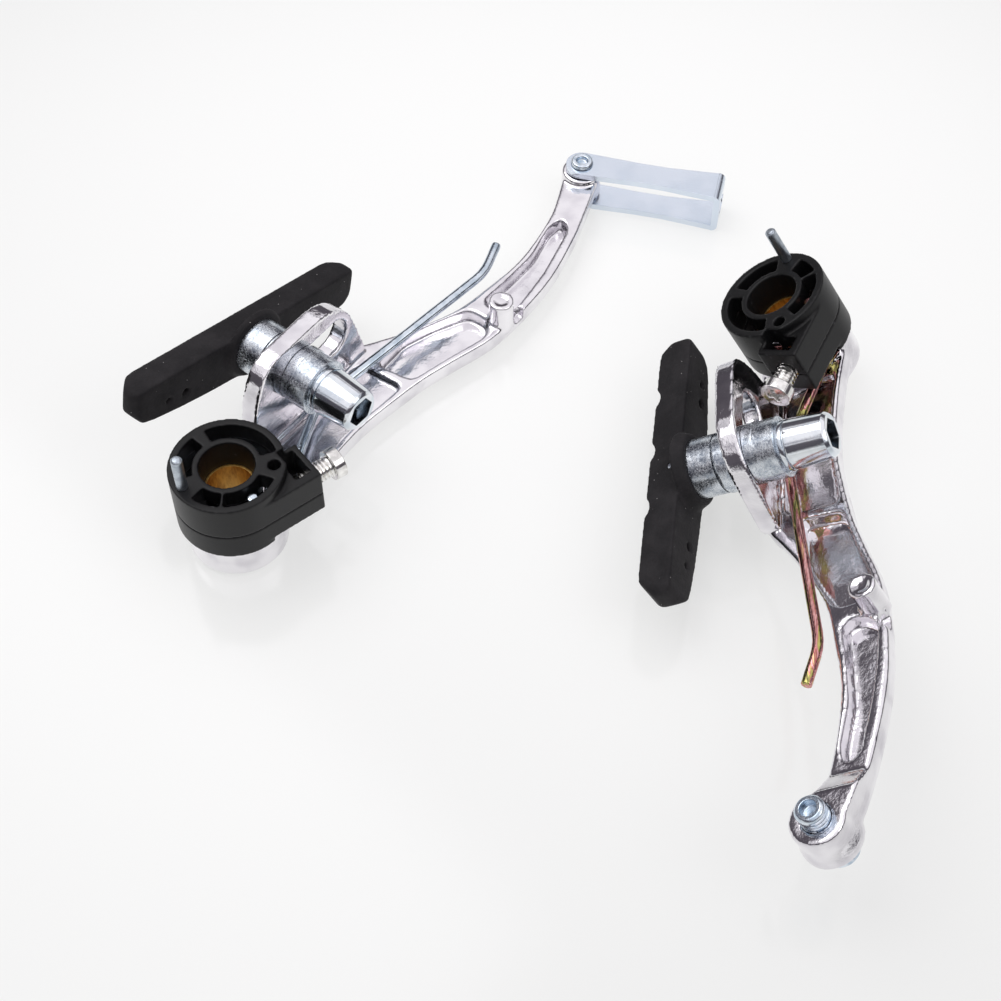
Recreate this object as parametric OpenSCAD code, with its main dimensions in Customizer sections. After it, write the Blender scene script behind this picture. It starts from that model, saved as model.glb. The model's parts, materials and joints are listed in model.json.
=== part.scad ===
// A pair of direct-pull bicycle brake arms with their pads, laid down as they come off the bicycle.
// Each side is drawn in its own frame: the origin is on the pivot axis at the foot of the barrel,
// +x runs to the cable end, +y to the brake pad and +z to the bicycle frame. The right side is the
// mirror image of the left one. The two sides are then laid on the table by lay_left and lay_right.

/* [Pivot] */
// Inner diameter of the pivot bush, which turns on the frame stud
stud_bore = 8.1; // [7.9:0.05:8.3]
// Wall of the pivot bush
bush_wall = 0.45; // [0.35:0.05:0.7]
// Length of the pivot bush
bush_length = 15.6; // [15:0.1:16.4]
// Wall of the neck that the spring coil sits round
neck_wall = 1.55; // [1.2:0.05:2]
// Height of the neck
neck_height = 14.3; // [13.5:0.1:14.3]
// Depth of the spring groove's floor above the foot of the barrel
groove_floor = 7; // [6.8:0.1:7.2]
// Wall outside the spring groove
barrel_lip = 0.4; // [0.3:0.1:1]

/* [Arm] */
// Distance from the pivot to the link rivet of the left arm
left_reach = 107; // [105:0.5:112]
// Distance from the pivot to the cable bolt of the right arm
right_reach = 103.7; // [102:0.5:110]
// Height of the rim of the arm
rim_height = 6.5; // [6.2:0.1:6.7]
// Height of the arm's underside
belly_height = 1.6; // [1:0.1:2.2]
// Radius of the rounded lower edges of the arm
belly_round = 2; // [1:0.1:2.4]
// Floor of the deep pockets
deep_floor = 3.4; // [2.8:0.1:4.5]
// Floor of the shallow pocket beside the barrel
shallow_floor = 5.2; // [4.5:0.1:5.6]
// Radius of the left arm's eye at the link
left_eye_radius = 4; // [3.4:0.1:4.6]
// Radius of the right arm's eye at the cable bolt
right_eye_radius = 4.7; // [4:0.1:5.4]
// Height of the raised face round the cable bolt
bolt_seat_height = 8.5; // [7.8:0.1:9.2]
// Radius of the spring hook boss
hook_radius = 2.4; // [1.8:0.1:2.8]
// Height of the spring hook boss
hook_height = 11.9; // [10.5:0.1:13]

/* [Pad ear] */
// Thickness of the slotted ear that holds the pad
ear_thickness = 3.5; // [3:0.1:3.5]
// Outer face of the ear, towards the pad
ear_face = 9; // [9:0.1:9.6]
// Height of the ear
ear_height = 25.6; // [23.5:0.1:27]
// Height of the slot's centreline
slot_height = 17.5; // [17:0.1:18.5]
// Start of the slot along the arm
slot_start = 20.6; // [20:0.1:21.5]
// Length of the slot
slot_length = 18.4; // [18:0.1:18.8]
// Width of the slot
slot_width = 7.6; // [7.4:0.1:8.2]

/* [Return spring] */
// Diameter of the spring wire
wire = 2; // [1.8:0.05:2.1]
// Rise of one turn of the coil
coil_pitch = 2.15; // [2.1:0.05:2.4]
// Height that the short end of the spring reaches
short_end_height = 19.6; // [17:0.1:20.5]

/* [Spring case] */
// Wall of the spring case
case_wall = 1.15; // [1:0.05:1.6]
// Room between the coil and the case
coil_room = 0.65; // [0.5:0.05:1]
// Height of the seam between the base and the cap of the case
seam_height = 13.8; // [13:0.1:14.5]
// Height of the top of the case
case_height = 21.15; // [20.5:0.05:22.5]
// Thickness of the top of the case
case_top = 3.65; // [2.6:0.05:4]
// Distance that the screw block stands out from the pivot axis
block_reach = 12.5; // [12:0.1:13]
// Height of the top of the screw block
block_height = 19.2; // [18.6:0.1:20]
// Diameter of the anchor pin
pin_diameter = 2; // [1.8:0.1:2.2]
// Height of the anchor pin's free end
pin_height = 28.8; // [26:0.1:31]
// Height of the tension screw's axis
screw_height = 14.5; // [14.2:0.1:15]
// Diameter of the tension screw's thread
screw_diameter = 3.9; // [3.5:0.1:4]
// Diameter of the tension screw's head
screw_head = 5.8; // [5.2:0.1:6]

/* [Brake shoe] */
// Diameter of the threaded post
post_diameter = 5.9; // [5.5:0.1:6]
// Radius of the washers and cups
cup_radius = 5.35; // [5:0.05:5.5]
// Radius of the domed washers
dome_radius = 6.5; // [6.3:0.1:6.8]
// Thickness of the outer cup at its rim and bottom, from the ball's surface
outer_cup_height = 3.7; // [3.4:0.1:4.2]
// Height of the inner cup
inner_cup_height = 4.6; // [4.2:0.1:5.2]
// Length of the nut
nut_length = 8.9; // [8:0.1:9.4]
// Radius of the nut at its seat
nut_radius = 4.5; // [4.1:0.1:4.7]
// Width across the flats of the nut's hexagon socket
socket_width = 5; // [4.5:0.1:5.2]
// Length of the pad
pad_length = 57.5; // [53:0.5:60]
// Height of the pad at its middle
pad_height = 9.7; // [8.8:0.1:11]
// Thickness of the left pad behind its braking face
left_pad_thickness = 5.6; // [5:0.1:8.5]
// Thickness of the right pad behind its braking face
right_pad_thickness = 6.2; // [5:0.1:8.5]
// Height of the moulded foot between the left pad and its cup
left_pad_foot = 1.2; // [0.8:0.1:3]
// Height of the moulded foot between the right pad and its cup
right_pad_foot = 2.3; // [0.8:0.1:3.5]
// Height of the pad's straight edge above its post
pad_above = 3.1; // [2.8:0.1:3.8]
// Rise of the pad's curved edge
pad_bow = 2.5; // [1:0.1:3]

/* [Cable link] */
// Distance from the rivet to the end of the link
link_length = 29; // [27:0.5:32]
// Width of the link
link_width = 6.4; // [5.8:0.1:7.5]
// Thickness of the link's sheet
link_sheet = 1.3; // [1:0.1:1.5]
// Diameter of the rivet
rivet_diameter = 3.5; // [3:0.1:4]
// Diameter of the rivet's head
rivet_head = 4.7; // [4.5:0.1:5.5]

/* [Cable bolt] */
// Diameter of the cable bolt
bolt_diameter = 4.9; // [4.5:0.1:5]
// Height of the bolt's threaded end
bolt_end = 11.5; // [10.5:0.1:12.5]
// Thickness of the cable washer
washer_thickness = 1.2; // [0.9:0.1:1.5]
// Radius of the cable washer
washer_radius = 3.9; // [3.6:0.1:4.4]
// Thickness of the bolt's head
bolt_head_height = 2; // [1.6:0.1:3]
// Radius of the bolt's head
bolt_head_radius = 3; // [2.8:0.1:3.4]

/* [Pose on the table] */
// Turn of the left arm on the table
left_heading = 53.8; // [50:0.1:58]
// Turn of the spring case on the left arm
left_case_turn = -16; // [-18:0.5:-14]
// Turn of the spring case on the right arm
right_case_turn = 27; // [25:0.5:27]
// Place of the left pad's post along the arm
left_post_x = 25.5; // [25:0.1:27]
// Place of the right pad's post along the arm
right_post_x = 34.7; // [33.5:0.1:35]
// Toe-in of the left pad
left_toe = -2.6; // [-3:0.1:-2]
// Toe-in of the right pad
right_toe = 4.4; // [4:0.1:5]
// Turn of the left pad about its post
left_pad_turn = 14; // [10:0.5:18]
// Turn of the right pad about its post
right_pad_turn = 2.4; // [0:0.1:5]
// Place of the left pad's middle beside its post
left_pad_shift = -0.4; // [-2:0.1:2]
// Place of the right pad's middle beside its post
right_pad_shift = -1.8; // [-3:0.1:1]

/* [Hidden] */
$fn = 64;

// Clearances
running = 0.05;
clear = 0.3;
cut = 1;

// Place of the right arm's foot on the table, and its turns: it leans over its pad
right_foot = [106.8, 35.9, 4.2];
right_turns = [31.6, -5.2, -94.9];

// Pivot and spring, from the stud outwards
bush_radius = stud_bore / 2 + bush_wall;
neck_radius = bush_radius + running + neck_wall;
wire_radius = wire / 2;
coil_radius = neck_radius + 0.25 + wire_radius;
groove_radius = coil_radius + wire_radius + 0.15;
barrel_radius = groove_radius + barrel_lip;
barrel_height = groove_floor + 0.9;
coil_start = groove_floor + 0.2 + wire_radius;
case_cavity = coil_radius + wire_radius + coil_room;
case_radius = case_cavity + case_wall;
case_foot = barrel_height + clear;
leg_top = coil_start + wire_radius;
block_foot = leg_top + clear;
hub_radius = bush_radius + 1.1;
hub_foot = neck_height + clear;
pin_radius_out = case_cavity - 0.54;
pin_turn = 176;
screw_side = 6.4;
short_end_turn = -88;

// Pads' posts: the ball's centre is in the middle of the ear
ball_side = ear_face - ear_thickness / 2;
seat_radius = dome_radius + 0.1;
dome_flat = ear_thickness / 2 + running;
cup_rim = sqrt(seat_radius * seat_radius - cup_radius * cup_radius) + 0.05;
cup_hole = post_diameter / 2 + running;
dome_hole = post_diameter / 2 + 1;
outer_cup_back = cup_rim + outer_cup_height;
inner_cup_back = cup_rim + inner_cup_height;
pad_seat = inner_cup_back + running;
nut_end = outer_cup_back + nut_length;
socket_depth = 3.8;

// Link and rivet, from the table upwards
eye_foot = link_sheet + clear;
left_eye_top = 7.6;
link_top = left_eye_top + clear + link_sheet;
bolt_hole = bolt_diameter / 2 + running;

// Edges of the arm seen from above: points along the pad side and the outer side in pairs
tip_start = 80;
arm_edges = [[[0, 8.8], [0, -8.8]], [[11.5, 9], [10, -6.8]], [[22, 9], [20, -5.6]],
             [[33, 9], [29, -5.3]], [[41.5, 8.6], [37, -6.2]], [[46.7, 5.7], [44.5, -7.4]],
             [[52, 2.6], [52, -9.4]], [[61.3, -1.6], [60.1, -11.7]], [[70, -3.1], [69.3, -12.4]],
             [[80, -3.9], [80, -11.8]], [[91.7, -2.2], [91.5, -9.2]], [[99, 0.3], [99.3, -6.7]]];
shallow_pocket = [[10.2, 4.6], [40.2, 4.6], [40.8, -5.2], [36, -4.9], [29, -4.1], [20, -4.4], [9.6, -5.6]];
lower_pocket = [[42.2, 1.9], [43.2, -5.8], [51, -7.8], [59.8, -10.4], [63.6, -8.4], [63.5, -3.7],
                [56.8, -0.3], [50, 2.1]];
upper_pocket = [[66.2, -7.5], [67, -4.6], [74.6, -5.1], [82.5, -5.2], [90.5, -3.4], [94.2, -3.9],
                [92.7, -6.7], [79.9, -9.7], [68.6, -10.9]];
ear_outline = [[11.5, 5], [12.5, 12], [13.8, 19], [17.5, ear_height], [34.5, ear_height],
               [39.8, 21.3], [41.6, 15], [44.2, 5]];
hook = [65, -10.4];

// A point on a smooth curve through points p, at t from 0 to the last index
function curve(p, t) =
    let (last = len(p) - 1, i = min(floor(t), last - 1), f = t - i,
         a = p[max(i - 1, 0)], b = p[i], c = p[i + 1], d = p[min(i + 2, last)])
    b + 0.5 * f * (c - a + f * (2 * a - 5 * b + 4 * c - d + f * (3 * (b - c) + d - a)));

// Points of the rounded corner b between a and c, which starts at reach before the corner
function corner(a, b, c, reach, steps) =
    let (u = b + (a - b) / norm(a - b) * min(reach, norm(a - b) / 2.01),
         v = b + (c - b) / norm(c - b) * min(reach, norm(c - b) / 2.01))
    [for (k = [0:steps]) let (f = k / steps) (1 - f) * (1 - f) * u + 2 * f * (1 - f) * b + f * f * v];

// A closed outline with each corner rounded
function rounded(p, reach, steps = 4) =
    let (n = len(p))
    [for (i = [0:n - 1]) each corner(p[(i + n - 1) % n], p[i], p[(i + 1) % n], reach, steps)];

function unit(v) = v / norm(v);

// A skin over rings that all have the same number of points, with flat ends
module skin(rings) {
    n = len(rings[0]);
    last = len(rings) - 1;
    polyhedron([for (r = rings) each r],
        concat([[for (j = [n - 1:-1:0]) j]],
            [for (i = [0:last - 1], j = [0:n - 1])
                each [[i * n + j, i * n + (j + 1) % n, (i + 1) * n + (j + 1) % n],
                      [i * n + j, (i + 1) * n + (j + 1) % n, (i + 1) * n + j]]],
            [[for (j = [0:n - 1]) last * n + j]]), convexity = 8);
}

// A round wire along a path
module wire_along(path, radius, sides = 8) {
    last = len(path) - 1;
    rings = [for (i = [0:last])
        let (t = unit(path[min(i + 1, last)] - path[max(i - 1, 0)]),
             flat = cross(t, [0, 0, 1]),
             back = path[last - 4] - path[last - 5],
             side = norm(flat) > 0.2 ? unit(flat) : unit(cross(back, [0, 0, 1])),
             rise = cross(side, t))
        [for (j = [0:sides - 1]) path[i] + radius * (cos(360 * j / sides) * side + sin(360 * j / sides) * rise)]];
    skin(rings);
}

// Part of a ring between two angles
module ring_part(inner, outer, from, to, height) {
    rotate([0, 0, from])
        rotate_extrude(angle = to - from)
            translate([inner, 0]) square([outer - inner, height]);
}

// Turns a shape drawn round z so that it stands round the post, and moves it to the ball's centre
module at_post(post_x, toe) {
    translate([post_x, ball_side, slot_height]) rotate([0, 0, toe]) rotate([-90, 0, 0]) children();
}

// A straight bar along +x with a given centreline, drawn as a cylinder
module bar_x(from, to, radius, side, height) {
    translate([from, side, height]) rotate([0, 90, 0]) cylinder(r = radius, h = to - from);
}

module lay_left() { rotate([0, 0, left_heading]) children(); }

module lay_right() { translate(right_foot) rotate(right_turns) mirror([0, 1, 0]) children(); }

// Cast arm

// The narrow end of the arm is drawn longer or shorter with the arm's reach
function tip_point(p, stretch) = [p[0] < tip_start ? p[0] : tip_start + (p[0] - tip_start) * stretch, p[1]];

function edge_pairs(eye, eye_radius, stretch) =
    concat([for (e = arm_edges) [for (p = e) tip_point(p, stretch)]],
           [[[eye, eye_radius], [eye, -eye_radius]]]);

// One section of the arm's blade between its two edges, with rounded lower corners
function blade_ring(pad, outer) =
    let (across = unit(outer - pad), w = norm(outer - pad), r = belly_round, q = 0.35)
    [for (p = concat([[0, rim_height - q], [q, rim_height], [w - q, rim_height], [w, rim_height - q]],
                     [for (k = [0:3]) [w - r + r * cos(30 * k), belly_height + r - r * sin(30 * k)]],
                     [for (k = [0:3]) [r - r * sin(30 * k), belly_height + r - r * cos(30 * k)]]))
        let (xy = pad + across * p[0]) [xy[0], xy[1], p[1]]];

module blade(eye, eye_radius, stretch) {
    pairs = edge_pairs(eye, eye_radius, stretch);
    pad = [for (e = pairs) e[0]];
    outer = [for (e = pairs) e[1]];
    steps = 4;
    skin([for (i = [steps * (len(pairs) - 1):-1:0]) blade_ring(curve(pad, i / steps), curve(outer, i / steps))]);
}

module pocket(outline, floor_height, stretch = 1) {
    translate([0, 0, floor_height])
        linear_extrude(rim_height - floor_height + cut)
            polygon(rounded([for (p = outline) tip_point(p, stretch)], 1.6));
}

module ear() {
    translate([0, ear_face, 0]) rotate([90, 0, 0])
        linear_extrude(ear_thickness) polygon(rounded(ear_outline, 4.2));
}

module ear_slot() {
    half = slot_width / 2;
    translate([0, ear_face + cut, slot_height]) rotate([90, 0, 0]) {
        for (x = [slot_start + half, slot_start + slot_length - half])
            translate([x, 0, 0]) cylinder(r = half, h = ear_thickness + 2 * cut);
        translate([slot_start + half, -half, 0])
            cube([slot_length - slot_width, slot_width, ear_thickness + 2 * cut]);
    }
}

// The barrel with the neck and the spring's groove
module barrel() {
    chamfer = 1.2;
    rotate_extrude()
        polygon([[0, 0], [barrel_radius - chamfer, 0], [barrel_radius, chamfer], [barrel_radius, barrel_height],
                 [groove_radius, barrel_height], [groove_radius, groove_floor], [neck_radius, groove_floor],
                 [neck_radius, neck_height], [0, neck_height]]);
}

// The way of the spring's long leg over the barrel's lip and the arm's rim
module leg_channel() {
    leg_direction = coil_leave_angle + 90;
    translate([coil_radius * cos(coil_leave_angle), coil_radius * sin(coil_leave_angle), groove_floor])
        rotate([0, 0, leg_direction])
            translate([0, -wire_radius - clear, 0]) cube([10, wire + 2 * clear, 4]);
}

module hook_boss() {
    dimple = hook_radius * 0.6;
    hook_foot = deep_floor + 1.2;
    difference() {
        translate([hook[0], hook[1], hook_foot]) cylinder(r = hook_radius, h = hook_height - hook_foot);
        translate([hook[0], hook[1], hook_height - 0.3]) cylinder(r = dimple, h = cut);
    }
}

// The gap in the outer rim beside the hook, which lets the spring's leg swing in behind it
module hook_notch() {
    translate([hook[0] + 1.9, hook[1] - 3, deep_floor + 1]) cube([2.8, 2.6, rim_height]);
}

// The round eye at the cable end, a little wider at its foot
module eye_boss(radius, flare, bottom, top) {
    edge = 0.3;
    rotate_extrude()
        polygon([[0, bottom], [radius + flare - edge, bottom], [radius + flare, bottom + edge],
                 [radius + flare, bottom + 1.5], [radius, bottom + 3.5], [radius, top - edge],
                 [radius - edge, top], [0, top]]);
}

module arm(eye, drawn_eye, eye_radius, eye_flare, eye_top, eye_hole) {
    stretch = (eye - tip_start) / (drawn_eye - tip_start);
    eye_bottom = min(eye_foot, belly_height);
    difference() {
        union() {
            difference() {
                union() {
                    blade(eye, eye_radius, stretch);
                    ear();
                }
                pocket(shallow_pocket, shallow_floor);
                pocket(lower_pocket, deep_floor);
                pocket(upper_pocket, deep_floor, stretch);
                hook_notch();
                translate([0, 0, groove_floor - 3]) cylinder(r = groove_radius, h = ear_height);
            }
            barrel();
            hook_boss();
            translate([eye, 0, 0]) eye_boss(eye_radius, eye_flare, eye_bottom, eye_top);
            if (eye_top > left_eye_top) eye_ramp(eye, eye_radius, eye_top, stretch);
        }
        leg_channel();
        ear_slot();
        translate([0, 0, -cut]) cylinder(r = bush_radius + running, h = neck_height + 2 * cut);
        translate([eye, 0, eye_bottom - cut]) cylinder(r = eye_hole, h = eye_top + 2 * cut);
    }
}

// The slope up to the raised face round the cable bolt, held within the arm's edges
module eye_ramp(eye, eye_radius, eye_top, stretch) {
    pairs = edge_pairs(eye, eye_radius, stretch);
    from = len(pairs) - 2;
    steps = 4;
    pad = [for (e = pairs) e[0]];
    outer = [for (e = pairs) e[1]];
    intersection() {
        translate([0, 0, belly_height + belly_round])
            linear_extrude(eye_top)
                polygon(concat([for (k = [-2:steps]) curve(pad, from + k / steps)],
                               [for (k = [steps:-1:-2]) curve(outer, from + k / steps)]));
        translate([0, 2 * eye_radius, 0]) rotate([90, 0, 0])
            linear_extrude(5 * eye_radius)
                polygon([[eye - 9, rim_height - 0.5], [eye - 8, rim_height], [eye - 4.5, eye_top], [eye, eye_top],
                         [eye, rim_height - 0.5]]);
    }
}

// Return spring

// The long leg's bends seen from above; it leaves the coil towards the first of them
leg_bends = [[27, 3.6], [71.6, -1.5], [79, 1]];
coil_leave_angle = atan2(leg_bends[0][1], leg_bends[0][0]) - acos(coil_radius / norm(leg_bends[0]));

function coil_point(angle) =
    [coil_radius * cos(angle), coil_radius * sin(angle),
     coil_start + coil_pitch * (coil_leave_angle - angle) / 360];

function spring_path(case_turn) =
    let (end_angle = case_turn + short_end_turn - 720, step = 15,
         turns = ceil((coil_leave_angle - end_angle) / step) - 1,
         leg = [for (b = leg_bends) [b[0], b[1], coil_start]],
         start = coil_point(coil_leave_angle), last = coil_point(end_angle),
         top = [last[0], last[1], short_end_height],
         before = coil_point(end_angle + step))
    concat([leg[2]], corner(leg[2], leg[1], leg[0], 2.5, 3), corner(leg[1], leg[0], start, 3, 3),
           [for (k = [0:turns - 1]) coil_point(coil_leave_angle - k * step)],
           corner(before, last, top, 1.6, 4), [top]);

module spring(case_turn) {
    wire_along(spring_path(case_turn), wire_radius);
}

// Spring case: drawn with its screw block along +x, then turned on the arm

module bush() {
    color("goldenrod") difference() {
        cylinder(r = bush_radius, h = bush_length);
        translate([0, 0, -cut]) cylinder(r = stud_bore / 2, h = bush_length + 2 * cut);
    }
}

block_inner = 2;
window = [8.3, 11.3];
window_side = [2.8, 8.5];

module screw_block(foot, top) {
    translate([0, -case_radius, foot]) cube([block_reach, case_radius - block_inner, top - foot]);
}

module screw_hole() {
    bar_x(window[0] - 0.8, block_reach + cut, screw_diameter / 2 + running, -screw_side, screw_height);
}

module spring_cap() {
    color("dimgray") difference() {
        union() {
            translate([0, 0, seam_height]) cylinder(r = case_radius, h = case_height - seam_height);
            screw_block(seam_height, block_height);
        }
        translate([0, 0, seam_height - cut]) {
            ring_part(hub_radius, case_cavity, pin_turn + 19, pin_turn + 347,
                      case_height - case_top - seam_height + cut);
            cylinder(r = neck_radius + clear, h = hub_foot - seam_height + cut);
        }
        for (a = [[-17, 83], [100, 163], [195, 229], [233, 303]])
            translate([0, 0, case_height - case_top - cut])
                ring_part(hub_radius + 0.4, case_cavity - 0.25, a[0], a[1], case_top + 2 * cut);
        rotate([0, 0, -37]) translate([case_cavity - 0.9, 0, case_height - case_top])
            cylinder(r = 1.1, h = case_top + cut);
        translate([window[0], -window_side[1], seam_height - cut])
            cube([window[1] - window[0], window_side[1] - window_side[0], block_height]);
        translate([0, 0, hub_foot - cut]) cylinder(r = bush_radius + 0.02, h = bush_length - hub_foot + cut);
        translate([0, 0, bush_length])
            cylinder(r1 = bush_radius + 0.02, r2 = bush_radius + 0.35, h = case_height - bush_length + 0.01);
        screw_hole();
        pin_hole();
    }
}

module pin_place() { rotate([0, 0, pin_turn]) translate([pin_radius_out, 0, 0]) children(); }

// The pin's turned-down root is moulded into the case; its shoulder sits on the case's top
pin_root_radius = pin_diameter / 2 - 0.4;
pin_root_foot = seam_height + 0.2;
pin_root_top = case_height;

module pin_hole() {
    pin_place() translate([0, 0, pin_root_foot]) cylinder(r = pin_root_radius + 0.02, h = case_height);
}

module spring_base() {
    color("dimgray") difference() {
        union() {
            translate([0, 0, case_foot]) cylinder(r = case_radius, h = seam_height - case_foot);
            screw_block(block_foot, seam_height);
        }
        translate([0, 0, case_foot - cut]) cylinder(r = case_cavity, h = seam_height);
        translate([block_inner, -case_radius - cut, case_foot - cut])
            cube([block_reach + cut, 2 * (case_radius + cut), block_foot - case_foot + cut]);
        translate([window[0] + 0.6, -window_side[1] + 1.2, block_foot - cut])
            cube([window[1] - window[0] - 1.2, window_side[1] - window_side[0] - 2.4, seam_height]);
        screw_hole();
    }
}

module anchor_pin() {
    point = 0.35;
    color("slategray") pin_place() {
        translate([0, 0, pin_root_foot]) cylinder(r = pin_root_radius, h = pin_root_top - pin_root_foot);
        translate([0, 0, pin_root_top]) cylinder(r = pin_diameter / 2, h = pin_height - pin_root_top - point);
        translate([0, 0, pin_height - point])
            cylinder(r1 = pin_diameter / 2, r2 = pin_diameter / 2 - point, h = point);
    }
}

module tension_screw() {
    head_start = block_reach + 3.6;
    head_height = 2.2;
    slot = 0.9;
    color("silver") difference() {
        union() {
            bar_x(window[1] - 1.3, head_start, screw_diameter / 2, -screw_side, screw_height);
            bar_x(head_start, head_start + head_height, screw_head / 2, -screw_side, screw_height);
        }
        for (a = [0, 90])
            translate([head_start + head_height, -screw_side, screw_height]) rotate([a, 0, 0])
                cube([2.4, slot, screw_head * 0.56], center = true);
    }
}

// Brake shoe: drawn round the post with z from the ball's centre towards the pad

module dome(flip) {
    color("silver") rotate([flip, 0, 0]) difference() {
        intersection() {
            sphere(r = dome_radius);
            translate([0, 0, dome_flat]) cylinder(r = cup_radius, h = dome_radius);
        }
        cylinder(r = dome_hole, h = dome_radius + cut);
    }
}

module cup(flip, back) {
    color("lightsteelblue") rotate([flip, 0, 0]) difference() {
        translate([0, 0, cup_rim]) cylinder(r = cup_radius, h = back - cup_rim);
        sphere(r = seat_radius);
        cylinder(r = cup_hole, h = back + cut);
    }
}

module nut() {
    tip_radius = nut_radius - 0.7;
    collar = 1.2;
    groove = 0.35;
    color("gainsboro") rotate([180, 0, 0]) difference() {
        rotate_extrude()
            polygon([[cup_hole, outer_cup_back], [nut_radius, outer_cup_back],
                     [nut_radius, outer_cup_back + collar],
                     [nut_radius - groove, outer_cup_back + collar],
                     [nut_radius - groove, outer_cup_back + collar + groove],
                     [nut_radius, outer_cup_back + collar + groove],
                     [tip_radius + 0.2, nut_end - 0.6], [tip_radius - 0.3, nut_end],
                     [socket_width / 2 - 0.3, nut_end], [socket_width / 2 - 0.3, nut_end - socket_depth],
                     [cup_hole, nut_end - socket_depth]]);
        translate([0, 0, nut_end - socket_depth])
            cylinder(d = socket_width / cos(30), h = socket_depth + cut, $fn = 6);
    }
}

module post(pad_foot) {
    foot = nut_end - socket_depth - 0.5;
    color("silver") translate([0, 0, -foot])
        cylinder(r = post_diameter / 2, h = foot + pad_seat + pad_foot + 2.5);
}

// The pad's outline seen along the post: one straight edge, one curved edge and bevelled corners
function pad_outline() =
    let (half = pad_length / 2, low = pad_height - pad_above, bevel = 2.4, n = 12)
    concat([[-half, 1 - pad_above], [1 - half, -pad_above], [half - 1, -pad_above],
            [half, 1 - pad_above], [half, low - pad_bow - bevel]],
           [for (k = [n:-1:0]) let (x = (half - bevel) * (2 * k / n - 1))
                [x, low - pad_bow * pow(x / half, 2)]],
           [[-half, low - pad_bow - bevel]]);

// The pad's outline seen from above, with bevelled ends
module pad_side(back, face) {
    half = pad_length / 2;
    polygon([[-half, back + 1], [1.2 - half, back], [half - 1.2, back], [half, back + 1],
             [half, face - 2.6], [half - 3, face], [3 - half, face], [-half, face - 2.6]]);
}

// Three shallow grooves across the braking face, deeper towards one edge
module pad_grooves(face, lean) {
    for (x = pad_length * [-0.217, 0, 0.217])
        translate([x - 2.4, 0, face + 0.7]) rotate([90 + lean, 0, 0])
            cylinder(r = 1.6, h = 3 * pad_height, center = true, $fn = 32);
}

module pad(turn, shift, pad_foot, thickness, lean) {
    foot_radius = cup_radius + 1;
    back = pad_seat + pad_foot;
    face = back + thickness;
    color([0.22, 0.21, 0.22]) difference() {
        union() {
            translate([0, 0, pad_seat]) cylinder(r1 = foot_radius, r2 = foot_radius + 1.3, h = pad_foot + 1);
            rotate([0, 0, turn]) translate([shift, 0, 0]) difference() {
                intersection() {
                    translate([0, 0, back - 1]) linear_extrude(thickness + 2) polygon(pad_outline());
                    rotate([90, 0, 0]) linear_extrude(4 * pad_height, center = true) pad_side(back, face);
                }
                pad_grooves(face, lean);
            }
        }
        cylinder(r = post_diameter / 2 + 0.02, h = back + 2.52);
    }
}

// Cable link: drawn along +x from the rivet, with its sheet folded round the arm's eye

module link_plan() {
    end = link_width / 2;
    waist = end - 0.45;
    difference() {
        union() {
            circle(r = end);
            polygon([[0, -end], [link_length * 0.4, -waist], [link_length * 0.6, -waist], [link_length, -end - 0.4],
                     [link_length, end + 0.4], [link_length * 0.6, waist], [link_length * 0.4, waist], [0, end]]);
        }
        circle(r = rivet_diameter / 2 + running);
    }
}

module cable_link() {
    middle = (link_top) / 2;
    mouth = 2.3;
    slit = 1.7;
    color("lightsteelblue") translate([left_reach, 0, 0]) rotate([0, 0, -67]) difference() {
        union() {
            linear_extrude(link_sheet) link_plan();
            translate([0, 0, link_top - link_sheet]) linear_extrude(link_sheet) link_plan();
            translate([link_length - link_sheet, -link_width / 2 - 0.4, 0])
                cube([link_sheet, link_width + 0.8, link_top]);
        }
        translate([link_length - link_sheet - cut, 0, middle]) rotate([0, 90, 0])
            cylinder(r = mouth, h = link_sheet + 2 * cut);
        translate([link_length - link_sheet - cut, 0, middle - slit / 2])
            cube([link_sheet + 2 * cut, link_width, slit]);
    }
}

module link_rivet() {
    shank = rivet_diameter / 2;
    color("silver") translate([left_reach, 0, 0]) difference() {
        union() {
            translate([0, 0, 0.1]) cylinder(r = shank, h = link_top + running);
            translate([0, 0, link_top + running]) cylinder(r1 = rivet_head / 2, r2 = rivet_head / 2 - 0.3, h = 0.9);
        }
        translate([0, 0, link_top]) cylinder(r = 1.1, h = 2);
    }
}

// Cable bolt, its head and its washer below the right arm's eye

washer_foot = belly_height - washer_thickness;
bolt_head_foot = washer_foot - bolt_head_height;

module cable_washer() {
    color("lightsteelblue") translate([right_reach, 0, washer_foot]) difference() {
        cylinder(r = washer_radius, h = washer_thickness);
        translate([0, 0, -cut]) cylinder(r = bolt_hole, h = washer_thickness + 2 * cut);
    }
}

module cable_bolt() {
    color("silver") translate([right_reach, 0, 0]) difference() {
        union() {
            translate([0, 0, bolt_head_foot]) cylinder(r = bolt_head_radius, h = bolt_head_height);
            translate([0, 0, washer_foot]) cylinder(r = bolt_diameter / 2, h = bolt_end - washer_foot - 0.4);
            translate([0, 0, bolt_end - 0.4]) cylinder(r1 = bolt_diameter / 2, r2 = bolt_diameter / 2 - 0.4, h = 0.4);
        }
        translate([0, 0, bolt_end - 1.6]) cylinder(r = 1.4, h = 2);
        translate([0, 0, bolt_head_foot - cut]) cylinder(d = 4 / cos(30), h = 1.4 + cut, $fn = 6);
    }
}

module on_case(turn) { rotate([0, 0, turn]) children(); }

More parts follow.
